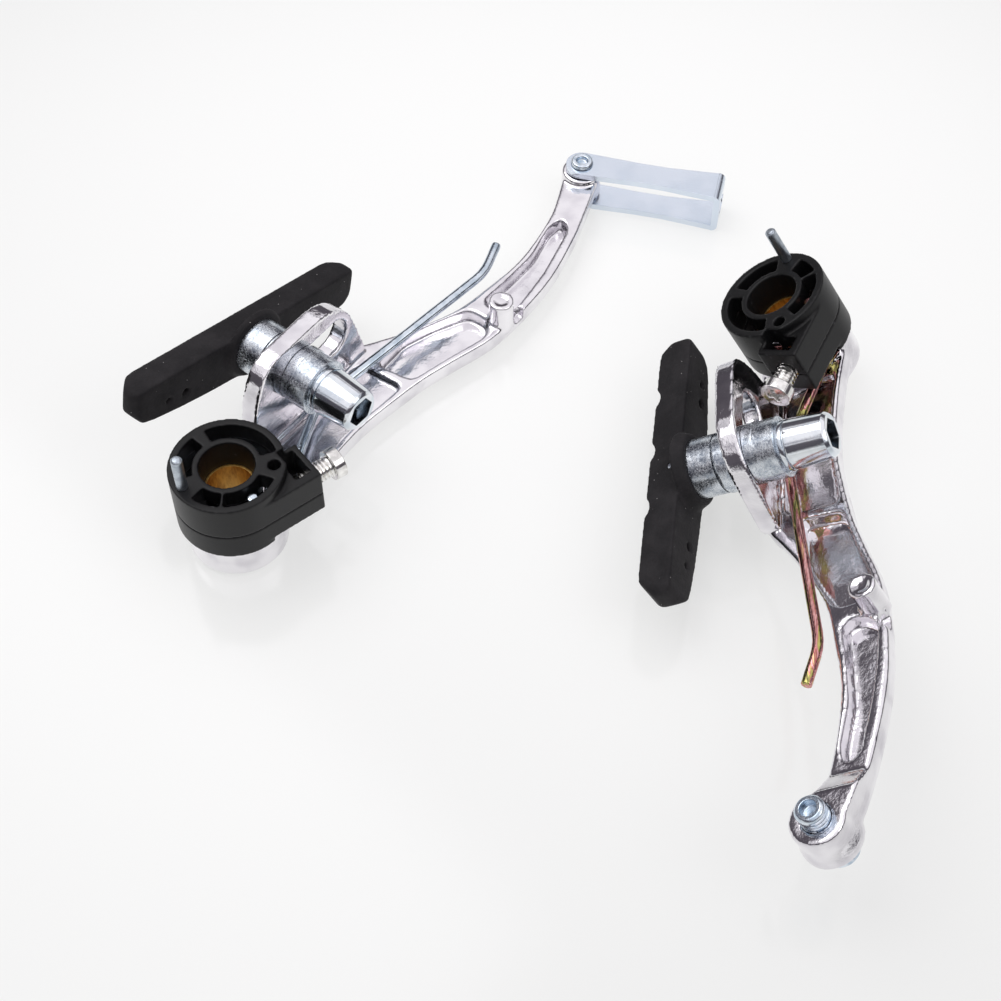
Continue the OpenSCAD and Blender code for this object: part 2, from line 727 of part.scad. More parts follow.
lay_left() color("gainsboro")  // left_arm
    arm(left_reach, 107, left_eye_radius, 0, left_eye_top, rivet_diameter / 2 + running);
lay_left() bush();  // left_bush
lay_left() on_case(left_case_turn) spring_cap();  // left_spring_cap
lay_left() on_case(left_case_turn) spring_base();  // left_spring_base
lay_left() on_case(left_case_turn) anchor_pin();  // left_anchor_pin
lay_left() color("lightsteelblue") spring(left_case_turn);  // left_spring
lay_left() on_case(left_case_turn) tension_screw();  // left_tension_screw
lay_left() at_post(left_post_x, left_toe)  // left_pad
    pad(left_pad_turn, left_pad_shift, left_pad_foot, left_pad_thickness, -8);
lay_left() at_post(left_post_x, left_toe) post(left_pad_foot);  // left_post
lay_left() at_post(left_post_x, left_toe) cup(0, inner_cup_back);  // left_inner_cup
lay_left() at_post(left_post_x, 0) dome(0);  // left_inner_dome
lay_left() at_post(left_post_x, 0) dome(180);  // left_outer_dome
lay_left() at_post(left_post_x, left_toe) cup(180, outer_cup_back);  // left_outer_cup
lay_left() at_post(left_post_x, left_toe) nut();  // left_nut
lay_right() color("gainsboro")  // right_arm
    arm(right_reach, 103.7, right_eye_radius, 0.5, bolt_seat_height, bolt_hole);
lay_right() bush();  // right_bush
lay_right() on_case(right_case_turn) spring_cap();  // right_spring_cap
lay_right() on_case(right_case_turn) spring_base();  // right_spring_base
lay_right() on_case(right_case_turn) anchor_pin();  // right_anchor_pin
lay_right() color("wheat") spring(right_case_turn);  // right_spring
lay_right() on_case(right_case_turn) tension_screw();  // right_tension_screw
lay_right() at_post(right_post_x, right_toe)  // right_pad
    pad(right_pad_turn, right_pad_shift, right_pad_foot, right_pad_thickness, 8);
lay_right() at_post(right_post_x, right_toe) post(right_pad_foot);  // right_post
lay_right() at_post(right_post_x, right_toe) cup(0, inner_cup_back);  // right_inner_cup
lay_right() at_post(right_post_x, 0) dome(0);  // right_inner_dome
lay_right() at_post(right_post_x, 0) dome(180);  // right_outer_dome
lay_right() at_post(right_post_x, right_toe) cup(180, outer_cup_back);  // right_outer_cup
lay_right() at_post(right_post_x, right_toe) nut();  // right_nut
lay_left() cable_link();
lay_left() link_rivet();
lay_right() cable_bolt();
lay_right() cable_washer();
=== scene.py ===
"""Looks, floor, light and camera of a pair of direct-pull bicycle brake arms.

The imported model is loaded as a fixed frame. Each part is dressed with a finer piece that stands for
its solid: cast arms with soft edges, wound wires, cut threads, moulded plastic and rubber.
"""

import json
import logging
import math
from collections.abc import Callable, Mapping, Sequence
from dataclasses import dataclass
from enum import Enum
from typing import Any

import bpy
from mathutils import Euler, Matrix, Vector

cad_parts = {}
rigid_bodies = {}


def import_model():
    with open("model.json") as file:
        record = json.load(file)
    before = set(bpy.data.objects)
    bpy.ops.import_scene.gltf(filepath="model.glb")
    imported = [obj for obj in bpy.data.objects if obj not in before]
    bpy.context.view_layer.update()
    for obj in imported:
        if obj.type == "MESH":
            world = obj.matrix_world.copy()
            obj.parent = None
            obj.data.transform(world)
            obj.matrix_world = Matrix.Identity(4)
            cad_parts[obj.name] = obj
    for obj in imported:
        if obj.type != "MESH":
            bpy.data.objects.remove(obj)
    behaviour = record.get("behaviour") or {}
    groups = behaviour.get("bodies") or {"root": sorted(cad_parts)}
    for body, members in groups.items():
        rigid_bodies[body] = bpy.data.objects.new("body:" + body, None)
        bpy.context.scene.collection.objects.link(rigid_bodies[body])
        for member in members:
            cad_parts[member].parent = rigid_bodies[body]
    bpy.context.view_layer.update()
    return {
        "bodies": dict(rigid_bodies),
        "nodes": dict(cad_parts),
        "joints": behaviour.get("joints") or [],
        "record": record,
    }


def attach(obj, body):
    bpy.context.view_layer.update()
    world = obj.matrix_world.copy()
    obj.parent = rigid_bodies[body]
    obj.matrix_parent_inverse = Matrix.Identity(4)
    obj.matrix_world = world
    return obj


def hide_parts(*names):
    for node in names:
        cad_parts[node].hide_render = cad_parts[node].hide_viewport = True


MM = 0.001
MERGE = 0.002
FLAT_ANGLE = 0.6
PHOTO_WIDTH = 1001
PHOTO_FOCUS = 1839.63
SENSOR_WIDTH = 36.0

log = logging.getLogger("brake")

Colour = tuple[float, float, float]
Input = Any


class Slot(Enum):
    """The record's material slots."""

    ALLOY = "polished_alloy"
    ZINC = "zinc_plate"
    NUT = "bright_nut"
    SHEET = "link_sheet"
    ZINC_WIRE = "spring_zinc"
    GOLD_WIRE = "spring_gold"
    PLASTIC = "case_plastic"
    BRASS = "brass_bush"
    NICKEL = "nickel_screw"
    PIN = "pin_steel"
    RUBBER = "pad_rubber"


# Frames of the two sides


@dataclass(frozen=True)
class Side:
    """One brake arm's own frame and the settings of what is fitted to it, in millimetres and degrees."""

    name: str
    foot: Colour
    turns: Colour
    mirrored: bool
    case_turn: float
    post_x: float
    toe: float
    pad_turn: float
    pad_shift: float
    pad_back: float
    pad_depth: float
    groove_depth: float
    groove_lean: float

    @property
    def scale(self) -> Colour:
        """The mirror image is drawn with y turned over."""
        return (1.0, -1.0, 1.0) if self.mirrored else (1.0, 1.0, 1.0)

    @property
    def turns_rad(self) -> Colour:
        """The turns in radians."""
        return tuple(math.radians(a) for a in self.turns)

    @property
    def foot_m(self) -> Colour:
        """The foot in metres."""
        return tuple(v * MM for v in self.foot)

    @property
    def matrix(self) -> Matrix:
        """From the arm's own frame in metres to the frame of the part."""
        mirror = Matrix.Diagonal((*self.scale, 1.0))
        return Matrix.Translation(self.foot_m) @ Euler(self.turns_rad).to_matrix().to_4x4() @ mirror

    @property
    def case_matrix(self) -> Matrix:
        """From the spring case's own frame to the frame of the part."""
        return self.matrix @ Matrix.Rotation(math.radians(self.case_turn), 4, "Z")

    @property
    def post_matrix(self) -> Matrix:
        """From the post's own frame, with z towards the pad, to the frame of the part."""
        ball = Matrix.Translation(Vector((self.post_x, 7.25, 17.5)) * MM)
        toe = Matrix.Rotation(math.radians(self.toe), 4, "Z")
        return self.matrix @ ball @ toe @ Matrix.Rotation(math.radians(-90.0), 4, "X")


LEFT = Side("left", (0.0, 0.0, 0.0), (0.0, 0.0, 53.8), False, -16.0, 25.5, -2.6,
            14.0, -0.4, 9.77, 5.6, 0.4, -4.4)
RIGHT = Side("right", (106.8, 35.9, 4.2), (31.6, -5.2, -94.9), True, 27.0, 34.7, 4.4,
             2.4, -1.8, 10.87, 6.2, 0.75, 1.0)


# Materials


class Value:
    """A number socket that can be used in Python arithmetic."""

    def __init__(self, shader: "Shader", socket: bpy.types.NodeSocket) -> None:
        """Wraps a socket of a shader's tree."""
        self.shader = shader
        self.socket = socket

    def _with(self, operation: str, other: Input, swapped: bool = False) -> "Value":
        """Adds a Math node of this value and another one.

        Args:
            operation: The node's operation.
            other: The other value.
            swapped: Puts the other value first.

        Returns:
            The result.
        """
        first, second = (other, self) if swapped else (self, other)
        return self.shader.math(operation, first, second)

    def __add__(self, other: Input) -> "Value":
        """self + other"""
        return self._with("ADD", other)

    __radd__ = __add__

    def __sub__(self, other: Input) -> "Value":
        """self - other"""
        return self._with("SUBTRACT", other)

    def __rsub__(self, other: Input) -> "Value":
        """other - self"""
        return self._with("SUBTRACT", other, swapped=True)

    def __mul__(self, other: Input) -> "Value":
        """self * other"""
        return self._with("MULTIPLY", other)

    __rmul__ = __mul__

    def between(self, low: float, high: float) -> "Value":
        """A soft step from 0 at low to 1 at high.

        Args:
            low: The value that gives 0.
            high: The value that gives 1.

        Returns:
            The step.
        """
        settings = {"interpolation_type": "SMOOTHSTEP"}
        node = self.shader.add("ShaderNodeMapRange", settings, {0: self, 1: low, 2: high})
        return Value(self.shader, node.outputs[0])


class Shader:
    """Builds the node tree of one material or of the world."""

    def __init__(self, tree: bpy.types.NodeTree) -> None:
        """Starts from an empty tree."""
        self.tree = tree
        tree.nodes.clear()

    def add(self, kind: str, settings: Mapping[str, Any] | None = None,
            inputs: Mapping[int | str, Input] | None = None) -> bpy.types.Node:
        """Adds a node.

        Args:
            kind: The node's type.
            settings: Its properties; "stops" holds a ramp's places and colours.
            inputs: The values or links of its sockets.

        Returns:
            The node.
        """
        node = self.tree.nodes.new(kind)
        for key, setting in (settings or {}).items():
            if key == "stops":
                self._set_stops(node.color_ramp.elements, setting)
            else:
                setattr(node, key, setting)
        for key, value in (inputs or {}).items():
            source = value.socket if isinstance(value, Value) else value
            if isinstance(source, bpy.types.NodeSocket):
                self.tree.links.new(source, node.inputs[key])
            else:
                node.inputs[key].default_value = source
        return node

    @staticmethod
    def _set_stops(elements: Any, stops: Sequence[tuple[float, Colour]]) -> None:
        """Gives a colour ramp its stops."""
        while len(elements) < len(stops):
            elements.new(1.0)
        for element, (place, colour) in zip(elements, stops):
            element.position = place
            element.color = (*colour, 1.0)

    def math(self, operation: str, first: Input, second: Input = 0.0) -> Value:
        """Adds a Math node."""
        node = self.add("ShaderNodeMath", {"operation": operation}, {0: first, 1: second})
        return Value(self, node.outputs[0])

    def mix(self, factor: Input, first: Input, second: Input) -> bpy.types.NodeSocket:
        """Mixes two colours.

        Args:
            factor: 0 for the first colour, 1 for the second.
            first: A colour or a colour socket.
            second: The other one.

        Returns:
            The mixed colour's socket.
        """
        first = (*first, 1.0) if isinstance(first, tuple) else first
        second = (*second, 1.0) if isinstance(second, tuple) else second
        node = self.add("ShaderNodeMix", {"data_type": "RGBA"}, {0: factor, 6: first, 7: second})
        return node.outputs[2]

    def own_place(self, side: Side) -> bpy.types.NodeSocket:
        """Object coordinates turned into the arm's own frame, in metres.

        Args:
            side: The side whose arm it is.

        Returns:
            The socket of the place.
        """
        coords = self.add("ShaderNodeTexCoord")
        inputs = {"Vector": coords.outputs["Object"], "Location": side.foot_m,
                  "Rotation": side.turns_rad, "Scale": side.scale}
        return self.add("ShaderNodeMapping", {"vector_type": "TEXTURE"}, inputs).outputs[0]

    def axes(self, vector: bpy.types.NodeSocket) -> tuple[Value, Value, Value]:
        """Splits a place into its three numbers."""
        node = self.add("ShaderNodeSeparateXYZ", None, {0: vector})
        return Value(self, node.outputs[0]), Value(self, node.outputs[1]), Value(self, node.outputs[2])

    def noise(self, vector: Input, size: float, detail: float = 2.0, roughness: float = 0.5) -> Value:
        """Cloudy noise.

        Args:
            vector: The place.
            size: The width of its lumps in millimetres.
            detail: The number of finer layers.
            roughness: How strong these are.

        Returns:
            The noise, from 0 to 1.
        """
        inputs = {"Vector": vector, "Scale": 1.0 / (size * MM), "Detail": detail, "Roughness": roughness}
        return Value(self, self.add("ShaderNodeTexNoise", None, inputs).outputs[0])

    def cells(self, vector: Input, size: float, output: str = "Color") -> Value:
        """Cells of about one size.

        Args:
            vector: The place.
            size: The cells' size in millimetres.
            output: "Color" for a random number of each cell, "Distance" for the way to its point.

        Returns:
            The number.
        """
        node = self.add("ShaderNodeTexVoronoi", None, {"Vector": vector, "Scale": 1.0 / (size * MM)})
        if output == "Color":
            split = self.add("ShaderNodeSeparateColor", None, {0: node.outputs["Color"]})
            return Value(self, split.outputs[0])
        return Value(self, node.outputs[output])

    def ramp(self, factor: Input, stops: Sequence[tuple[float, Colour]]) -> bpy.types.NodeSocket:
        """A colour ramp."""
        return self.add("ShaderNodeValToRGB", {"stops": stops}, {0: factor}).outputs[0]

    def edges(self) -> Value:
        """Convexity of the surface: above 0.5 on outer edges."""
        return Value(self, self.add("ShaderNodeNewGeometry").outputs["Pointiness"])

    def bump(self, height: Input, depth: float, under: Input | None = None) -> bpy.types.NodeSocket:
        """A Bump node.

        Args:
            height: The height, from 0 to 1.
            depth: The full height in millimetres.
            under: The normal that the bumps lie on.

        Returns:
            The normal's socket.
        """
        inputs = {"Height": height, "Strength": 1.0, "Distance": depth * MM}
        if under is not None:
            inputs["Normal"] = under
        return self.add("ShaderNodeBump", None, inputs).outputs[0]

    def surface(self, inputs: Mapping[int | str, Input]) -> None:
        """Ends a material in a Principled shader with these sockets."""
        body = self.add("ShaderNodeBsdfPrincipled", None, inputs)
        self.add("ShaderNodeOutputMaterial", None, {0: body.outputs[0]})


@dataclass(frozen=True)
class Finish:
    """A finish and the record's material slot that it belongs to."""

    name: str
    slot: Slot

    def paint(self, shader: Shader, side: Side) -> None:
        """Fills the node tree of this finish on one side."""
        raise NotImplementedError

    def material(self, side: Side) -> bpy.types.Material:
        """The material of this finish on one side, made once.

        Args:
            side: The side whose own frame the patterns follow.

        Returns:
            The material.
        """
        name = f"{self.name}_{side.name}"
        found = bpy.data.materials.get(name)
        if found:
            return found
        material = bpy.data.materials.new(name)
        material.use_nodes = True
        self.paint(Shader(material.node_tree), side)
        return material


@dataclass(frozen=True)
class PolishedCasting(Finish):
    """Bright polished alloy: faint waves and peel of a cast skin, grainy in patches of the pockets' floors."""

    tone: Colour = (0.86, 0.845, 0.87)
    shade: Colour = (0.68, 0.66, 0.70)
    rim: float = 6.1

    def paint(self, shader: Shader, side: Side) -> None:
        """Colour, gloss and waves of the casting."""
        place = shader.own_place(side)
        height = shader.axes(place)[2]
        floor = 1.0 - height.between((self.rim - 0.9) * MM, self.rim * MM)
        waves = shader.noise(place, 4.2, 1.0, 0.4)
        peel = shader.noise(place, 0.6, 3.0, 0.6)
        patches = shader.noise(place, 6.0, 2.0)
        rough = floor * patches.between(0.46, 0.62)
        tint = shader.mix(patches.between(0.4, 0.72), self.tone, self.shade)
        wall = shader.bump(waves, 0.13)
        skin = shader.bump(peel * (0.35 + rough * 0.4), 0.08, wall)
        shader.surface({"Base Color": tint, "Metallic": 1.0, "Normal": skin,
                        "Roughness": 0.06 + patches.between(0.45, 0.8) * 0.04 + rough * peel * 0.12})


@dataclass(frozen=True)
class ZincPlate(Finish):
    """Zinc-plated steel: fine crystals of different brightness."""

    light: Colour = (0.84, 0.88, 0.92)
    dark: Colour = (0.26, 0.30, 0.36)
    crystal: float = 0.24
    depth: float = 0.035
    gloss: float = 0.18

    def paint(self, shader: Shader, side: Side) -> None:
        """Crystals in colour, gloss and height."""
        place = shader.own_place(side)
        crystals = shader.cells(place, self.crystal)
        clouds = shader.noise(place, 2.2, 3.0)
        worn = clouds.between(0.38, 0.62)
        tint = shader.mix(crystals * 0.55 + worn * 0.45, self.dark, self.light)
        height = crystals * worn
        shader.surface({"Base Color": tint, "Metallic": 1.0, "Normal": shader.bump(height, self.depth),
                        "Roughness": self.gloss + crystals * 0.16})


@dataclass(frozen=True)
class SmoothPlate(Finish):
    """Smooth bright plating with faint clouds."""

    tone: Colour = (0.78, 0.83, 0.88)
    cloud: Colour = (0.60, 0.66, 0.73)
    gloss: float = 0.1
    cloud_size: float = 3.0
    scratch: float = 0.02

    def paint(self, shader: Shader, side: Side) -> None:
        """Clouds, fine scratches and gloss."""
        place = shader.own_place(side)
        clouds = shader.noise(place, self.cloud_size, 3.0)
        fine = shader.noise(place, 0.35, 3.0, 0.7)
        tint = shader.mix(clouds.between(0.35, 0.7), self.tone, self.cloud)
        shader.surface({"Base Color": tint, "Metallic": 1.0, "Normal": shader.bump(fine, self.scratch),
                        "Roughness": self.gloss + clouds * 0.12})


@dataclass(frozen=True)
class YellowPassivate(Finish):
    """Plated wire with the gold, pink and green sheen of a yellow passivate."""

    def paint(self, shader: Shader, side: Side) -> None:
        """Streaks of colour along the wire."""
        place = shader.own_place(side)
        along = shader.add("ShaderNodeMapping", None, {"Vector": place, "Scale": (0.07, 1.0, 1.0)})
        bands = shader.noise(along.outputs[0], 0.95, 2.0, 0.6)
        stops = [(0.34, (0.16, 0.13, 0.06)), (0.42, (0.52, 0.50, 0.16)), (0.48, (0.48, 0.17, 0.15)),
                 (0.56, (0.78, 0.44, 0.42)), (0.64, (0.40, 0.12, 0.12)), (0.72, (0.74, 0.56, 0.30))]
        fine = shader.noise(place, 0.4, 2.0)
        shader.surface({"Base Color": shader.ramp(bands, stops), "Metallic": 1.0,
                        "Roughness": 0.1 + fine * 0.08, "Normal": shader.bump(fine, 0.01)})


@dataclass(frozen=True)
class CasePlastic(Finish):
    """Satin black moulded plastic with a fine grain, scuffs, and edges painted lighter: partly edge wear, partly a
    painted highlight.
    """

    black: Colour = (0.0055, 0.0055, 0.006)
    # Lighter tone for the scuffs and for the painted highlight on the edges.
    scuff_and_sheen_tone: Colour = (0.034, 0.034, 0.036)

    def paint(self, shader: Shader, side: Side) -> None:
        """Grain, scuffs, and a lighter tone on the edges that is partly wear and partly a painted highlight."""
        place = shader.own_place(side)
        grain = shader.noise(place, 0.22, 2.0)
        scuffs = shader.noise(place, 1.7, 5.0, 0.72).between(0.60, 0.74)
        # Convex edges painted lighter: partly real edge wear, partly a painted highlight.
        edge = shader.edges().between(0.53, 0.62)
        wear_and_sheen = shader.math("MINIMUM", scuffs * 0.6 + edge * 0.8, 1.0)
        shader.surface({"Base Color": shader.mix(wear_and_sheen, self.black, self.scuff_and_sheen_tone),
                        "Roughness": 0.36 + scuffs * 0.2 + grain * 0.08, "Specular IOR Level": 0.26,
                        "Normal": shader.bump(grain, 0.018)})


@dataclass(frozen=True)
class PadRubber(Finish):
    """Matt moulded rubber with white specks."""

    black: Colour = (0.0095, 0.0085, 0.010)
    grey: Colour = (0.021, 0.019, 0.021)
    speck: Colour = (0.42, 0.41, 0.40)

    def paint(self, shader: Shader, side: Side) -> None:
        """Cloudy greys, a fine skin and a few specks."""
        place = shader.own_place(side)
        clouds = shader.noise(place, 6.0, 4.0, 0.6)
        skin = shader.noise(place, 0.5, 3.0, 0.65)
        tint = shader.mix(clouds.between(0.35, 0.7), self.black, self.grey)
        near = 1.0 - shader.cells(place, 1.1, "Distance").between(0.05, 0.09)
        chosen = shader.cells(place, 1.1).between(0.72, 0.74)
        spotted = shader.mix(near * chosen, tint, self.speck)
        shader.surface({"Base Color": spotted, "Roughness": 0.62 + skin * 0.2,
                        "Specular IOR Level": 0.3, "Normal": shader.bump(skin, 0.06)})


@dataclass(frozen=True)
class TurnedBrass(Finish):
    """Golden-brown brass, streaked along its bore."""

    def paint(self, shader: Shader, side: Side) -> None:
        """Tarnish and streaks."""
        place = shader.own_place(side)
        stretched = shader.add("ShaderNodeMapping", None, {"Vector": place, "Scale": (1.0, 1.0, 0.25)})
        streaks = shader.noise(stretched.outputs[0], 0.8, 4.0, 0.65)
        tint = shader.mix(streaks.between(0.35, 0.7), (0.66, 0.42, 0.13), (0.38, 0.21, 0.06))
        shader.surface({"Base Color": tint, "Metallic": 1.0, "Roughness": 0.24 + streaks * 0.2,
                        "Normal": shader.bump(streaks, 0.02)})


ALLOY = PolishedCasting("polished_alloy", Slot.ALLOY)
CRYSTAL_ZINC = ZincPlate("crystal_zinc", Slot.ZINC)
LINK_ZINC = SmoothPlate("link_zinc", Slot.SHEET, (0.72, 0.78, 0.86), (0.66, 0.73, 0.82), 0.13, 8.0)
BOLT_ZINC = SmoothPlate("bolt_zinc", Slot.ZINC, (0.76, 0.82, 0.88), (0.45, 0.54, 0.64), 0.12, 1.6)
NUT_CHROME = SmoothPlate("nut_chrome", Slot.NUT, (0.82, 0.85, 0.88), (0.62, 0.68, 0.74), 0.05, 4.0, 0.008)
ZINC_WIRE = SmoothPlate("zinc_wire", Slot.ZINC_WIRE, (0.70, 0.77, 0.84), (0.46, 0.54, 0.62), 0.1, 2.4, 0.01)
GOLD_WIRE = YellowPassivate("gold_wire", Slot.GOLD_WIRE)
PIN_STEEL = SmoothPlate("pin_steel", Slot.PIN, (0.50, 0.55, 0.60), (0.34, 0.38, 0.43), 0.3, 1.2, 0.03)
NICKEL = SmoothPlate("nickel", Slot.NICKEL, (0.88, 0.87, 0.85), (0.66, 0.65, 0.63), 0.08, 1.4, 0.006)
PLASTIC = CasePlastic("case_plastic", Slot.PLASTIC)
RUBBER = PadRubber("pad_rubber", Slot.RUBBER)
BRASS = TurnedBrass("brass_bush", Slot.BRASS)


# Modelling


class Bench:
    """Modelling steps on the active object, as by hand."""

    @staticmethod
    def pick(obj: bpy.types.Object) -> None:
        """Selects one object and nothing else."""
        bpy.ops.object.select_all(action="DESELECT")
        obj.select_set(True)
        bpy.context.view_layer.objects.active = obj

    @staticmethod
    def copy_of(node: str, name: str, frame: dict[str, Any]) -> bpy.types.Object:
        """A copy of a node's solid with its own mesh, its loose triangles merged.

        Args:
            node: The node.
            name: The copy's name.
            frame: The loaded frame.

        Returns:
            The copy.
        """
        obj = bpy.data.objects.new(name, frame["nodes"][node].data.copy())
        bpy.context.scene.collection.objects.link(obj)
        obj.data.materials.clear()
        Bench.in_edit_mode(obj, lambda: bpy.ops.mesh.remove_doubles(threshold=MERGE * MM))
        for attribute in [a.name for a in obj.data.attributes if a.name == "custom_normal"]:
            obj.data.attributes.remove(obj.data.attributes[attribute])
        return obj

    @staticmethod
    def in_edit_mode(obj: bpy.types.Object, work: Callable[[], object]) -> None:
        """Runs some work on all of a mesh in edit mode.

        Args:
            obj: The piece.
            work: The work, with all of the mesh selected.
        """
        Bench.pick(obj)
        bpy.ops.object.mode_set(mode="EDIT")
        bpy.ops.mesh.select_all(action="SELECT")
        work()
        bpy.ops.object.mode_set(mode="OBJECT")

    @staticmethod
    def modify(obj: bpy.types.Object, kind: str, **settings: Any) -> None:
        """Adds a modifier and applies it.

        Args:
            obj: The piece.
            kind: The modifier's type.
            settings: Its properties.
        """
        Bench.pick(obj)
        modifier = obj.modifiers.new(kind.lower(), kind)
        for key, value in settings.items():
            setattr(modifier, key, value)
        bpy.ops.object.modifier_apply(modifier=modifier.name)

    @staticmethod
    def flatten(obj: bpy.types.Object) -> None:
        """Joins the triangles of each flat face into one face."""
        Bench.in_edit_mode(obj, lambda: bpy.ops.mesh.dissolve_limited(angle_limit=math.radians(FLAT_ANGLE)))

    @staticmethod
    def break_edges(obj: bpy.types.Object, width: float, segments: int = 2, angle: float = 28.0) -> None:
        """Rounds the sharp edges.

        Args:
            obj: The piece.
            width: The width of the rounding in millimetres.
            segments: The number of faces across it.
            angle: The angle in degrees from which an edge is sharp.
        """
        Bench.flatten(obj)
        Bench.modify(obj, "BEVEL", width=width * MM, segments=segments, limit_method="ANGLE",
                     angle_limit=math.radians(angle), use_clamp_overlap=True)

    @staticmethod
    def round_chosen(obj: bpy.types.Object, chosen: Callable[[Vector, Vector], bool], width: float) -> None:
        """Rounds the edges that a test on their two ends picks.

        Args:
            obj: The piece.
            chosen: Says whether the edge between two places is rounded.
            width: The width of the rounding in millimetres.
        """
        Bench.flatten(obj)
        mesh = obj.data
        weights = mesh.attributes.new("bevel_weight_edge", "FLOAT", "EDGE")
        for edge in mesh.edges:
            first, second = (mesh.vertices[i].co for i in edge.vertices)
            weights.data[edge.index].value = float(chosen(first, second))
        Bench.modify(obj, "BEVEL", width=width * MM, segments=6, limit_method="WEIGHT")

    @staticmethod
    def recast(obj: bpy.types.Object, grain: float, rounds: int = 4) -> None:
        """Casts the shape again as one even skin, and rubs its edges soft.

        Args:
            obj: The piece.
            grain: The size of the skin's squares in millimetres.
            rounds: How often the skin is rubbed.
        """
        Bench.modify(obj, "REMESH", mode="VOXEL", voxel_size=grain * MM)
        if rounds:
            Bench.modify(obj, "SMOOTH", factor=0.5, iterations=rounds)

    @staticmethod
    def rub_ends(obj: bpy.types.Object, place: Matrix, start: float, rounds: int) -> None:
        """Rubs both ends of a long piece rounder.

        Args:
            obj: The piece.
            place: The frame in its middle, with x along it.
            start: Where the ends start, in millimetres from the middle.
            rounds: How often they are rubbed.
        """
        ends = obj.vertex_groups.new(name="ends")
        inward = place.inverted()
        for vertex in obj.data.vertices:
            beyond = abs((inward @ vertex.co).x) / MM - start
            if beyond > 0.0:
                ends.add([vertex.index], min(1.0, beyond), "REPLACE")
        Bench.modify(obj, "SMOOTH", factor=0.5, iterations=rounds, vertex_group="ends")

    @staticmethod
    def smooth(obj: bpy.types.Object, angle: float = 35.0) -> None:
        """Smooth shading, with flat faces kept flat beside rounded edges.

        Args:
            obj: The piece.
            angle: The angle in degrees from which an edge stays sharp.
        """
        Bench.pick(obj)
        bpy.ops.object.shade_smooth_by_angle(angle=math.radians(angle))
        Bench.modify(obj, "WEIGHTED_NORMAL", keep_sharp=True, weight=80)

    @staticmethod
    def cut_away(obj: bpy.types.Object, tool: bpy.types.Object) -> None:
        """Cuts a tool's shape out of a piece and removes the tool."""
        Bench.modify(obj, "BOOLEAN", operation="DIFFERENCE", solver="EXACT", object=tool)
        bpy.data.objects.remove(tool)

    @staticmethod
    def add_on(obj: bpy.types.Object, tool: bpy.types.Object) -> None:
        """Joins a tool's shape to a piece and removes the tool."""
        Bench.modify(obj, "BOOLEAN", operation="UNION", solver="EXACT", object=tool)
        bpy.data.objects.remove(tool)

    @staticmethod
    def lay(tool: bpy.types.Object, place: Matrix) -> bpy.types.Object:
        """Moves a tool's mesh to a place, and turns a mirrored one right side out.

        Args:
            tool: The tool.
            place: The place.

        Returns:
            The tool.
        """
        tool.data.transform(place)
        Bench.in_edit_mode(tool, lambda: bpy.ops.mesh.normals_make_consistent(inside=False))
        return tool

    @staticmethod
    def rod(radius: float, depth: float, place: Matrix, sides: int = 32) -> bpy.types.Object:
        """A round rod along z of a place.

        Args:
            radius: Its radius in millimetres.
            depth: Its length, half of it on each side of the place.
            place: The frame in its middle.
            sides: The number of its flat sides.

        Returns:
            The rod.
        """
        bpy.ops.object.select_all(action="DESELECT")
        bpy.ops.mesh.primitive_cylinder_add(vertices=sides, radius=radius * MM, depth=depth * MM)
        return Bench.lay(bpy.context.active_object, place)

    @staticmethod
    def box(low: Colour, high: Colour, place: Matrix) -> bpy.types.Object:
        """A box between two corners.

        Args:
            low: Its low corner in the place's own millimetres.
            high: Its high corner.
            place: The frame that the corners are in.

        Returns:
            The box.
        """
        bpy.ops.object.select_all(action="DESELECT")
        bpy.ops.mesh.primitive_cube_add(size=1.0)
        size = Matrix.Diagonal((*((h - v) * MM for v, h in zip(low, high)), 1.0))
        middle = Matrix.Translation((Vector(low) + Vector(high)) * 0.5 * MM)
        return Bench.lay(bpy.context.active_object, place @ middle @ size)

    @staticmethod
    def cut_thread(obj: bpy.types.Object, axis: Matrix, radius: float, span: tuple[float, float],
                   pitch: float, depth: float) -> None:
        """Cuts a helical V groove into a round shank, with a swept tool.

        Args:
            obj: The piece.
            axis: The frame whose z is the shank's axis.
            radius: The shank's radius in millimetres.
            span: Where the thread starts and ends along the axis.
            pitch: The rise of one turn.
            depth: The depth of the groove.
        """
        bite = (depth + 0.1) / 1.5 * MM
        bpy.ops.object.select_all(action="DESELECT")
        bpy.ops.mesh.primitive_circle_add(vertices=3, radius=bite)
        tool = bpy.context.active_object
        lay = Matrix(((0.0, -1.0, 0.0, (radius - depth) * MM + bite), (0.0, 0.0, 1.0, 0.0),
                      (1.0, 0.0, 0.0, span[0] * MM), (0.0, 0.0, 0.0, 1.0)))
        tool.data.transform(lay)
        turns = max(1, int((span[1] - span[0]) / pitch))
        Bench.modify(tool, "SCREW", axis="Z", angle=math.tau, screw_offset=pitch * MM, iterations=turns,
                     steps=24, render_steps=24, use_merge_vertices=False, use_smooth_shade=False)
        Bench.in_edit_mode(tool, lambda: bpy.ops.mesh.remove_doubles(threshold=MERGE * MM))
        Bench.in_edit_mode(tool, lambda: bpy.ops.mesh.fill_holes(sides=3))
        Bench.cut_away(obj, Bench.lay(tool, axis))


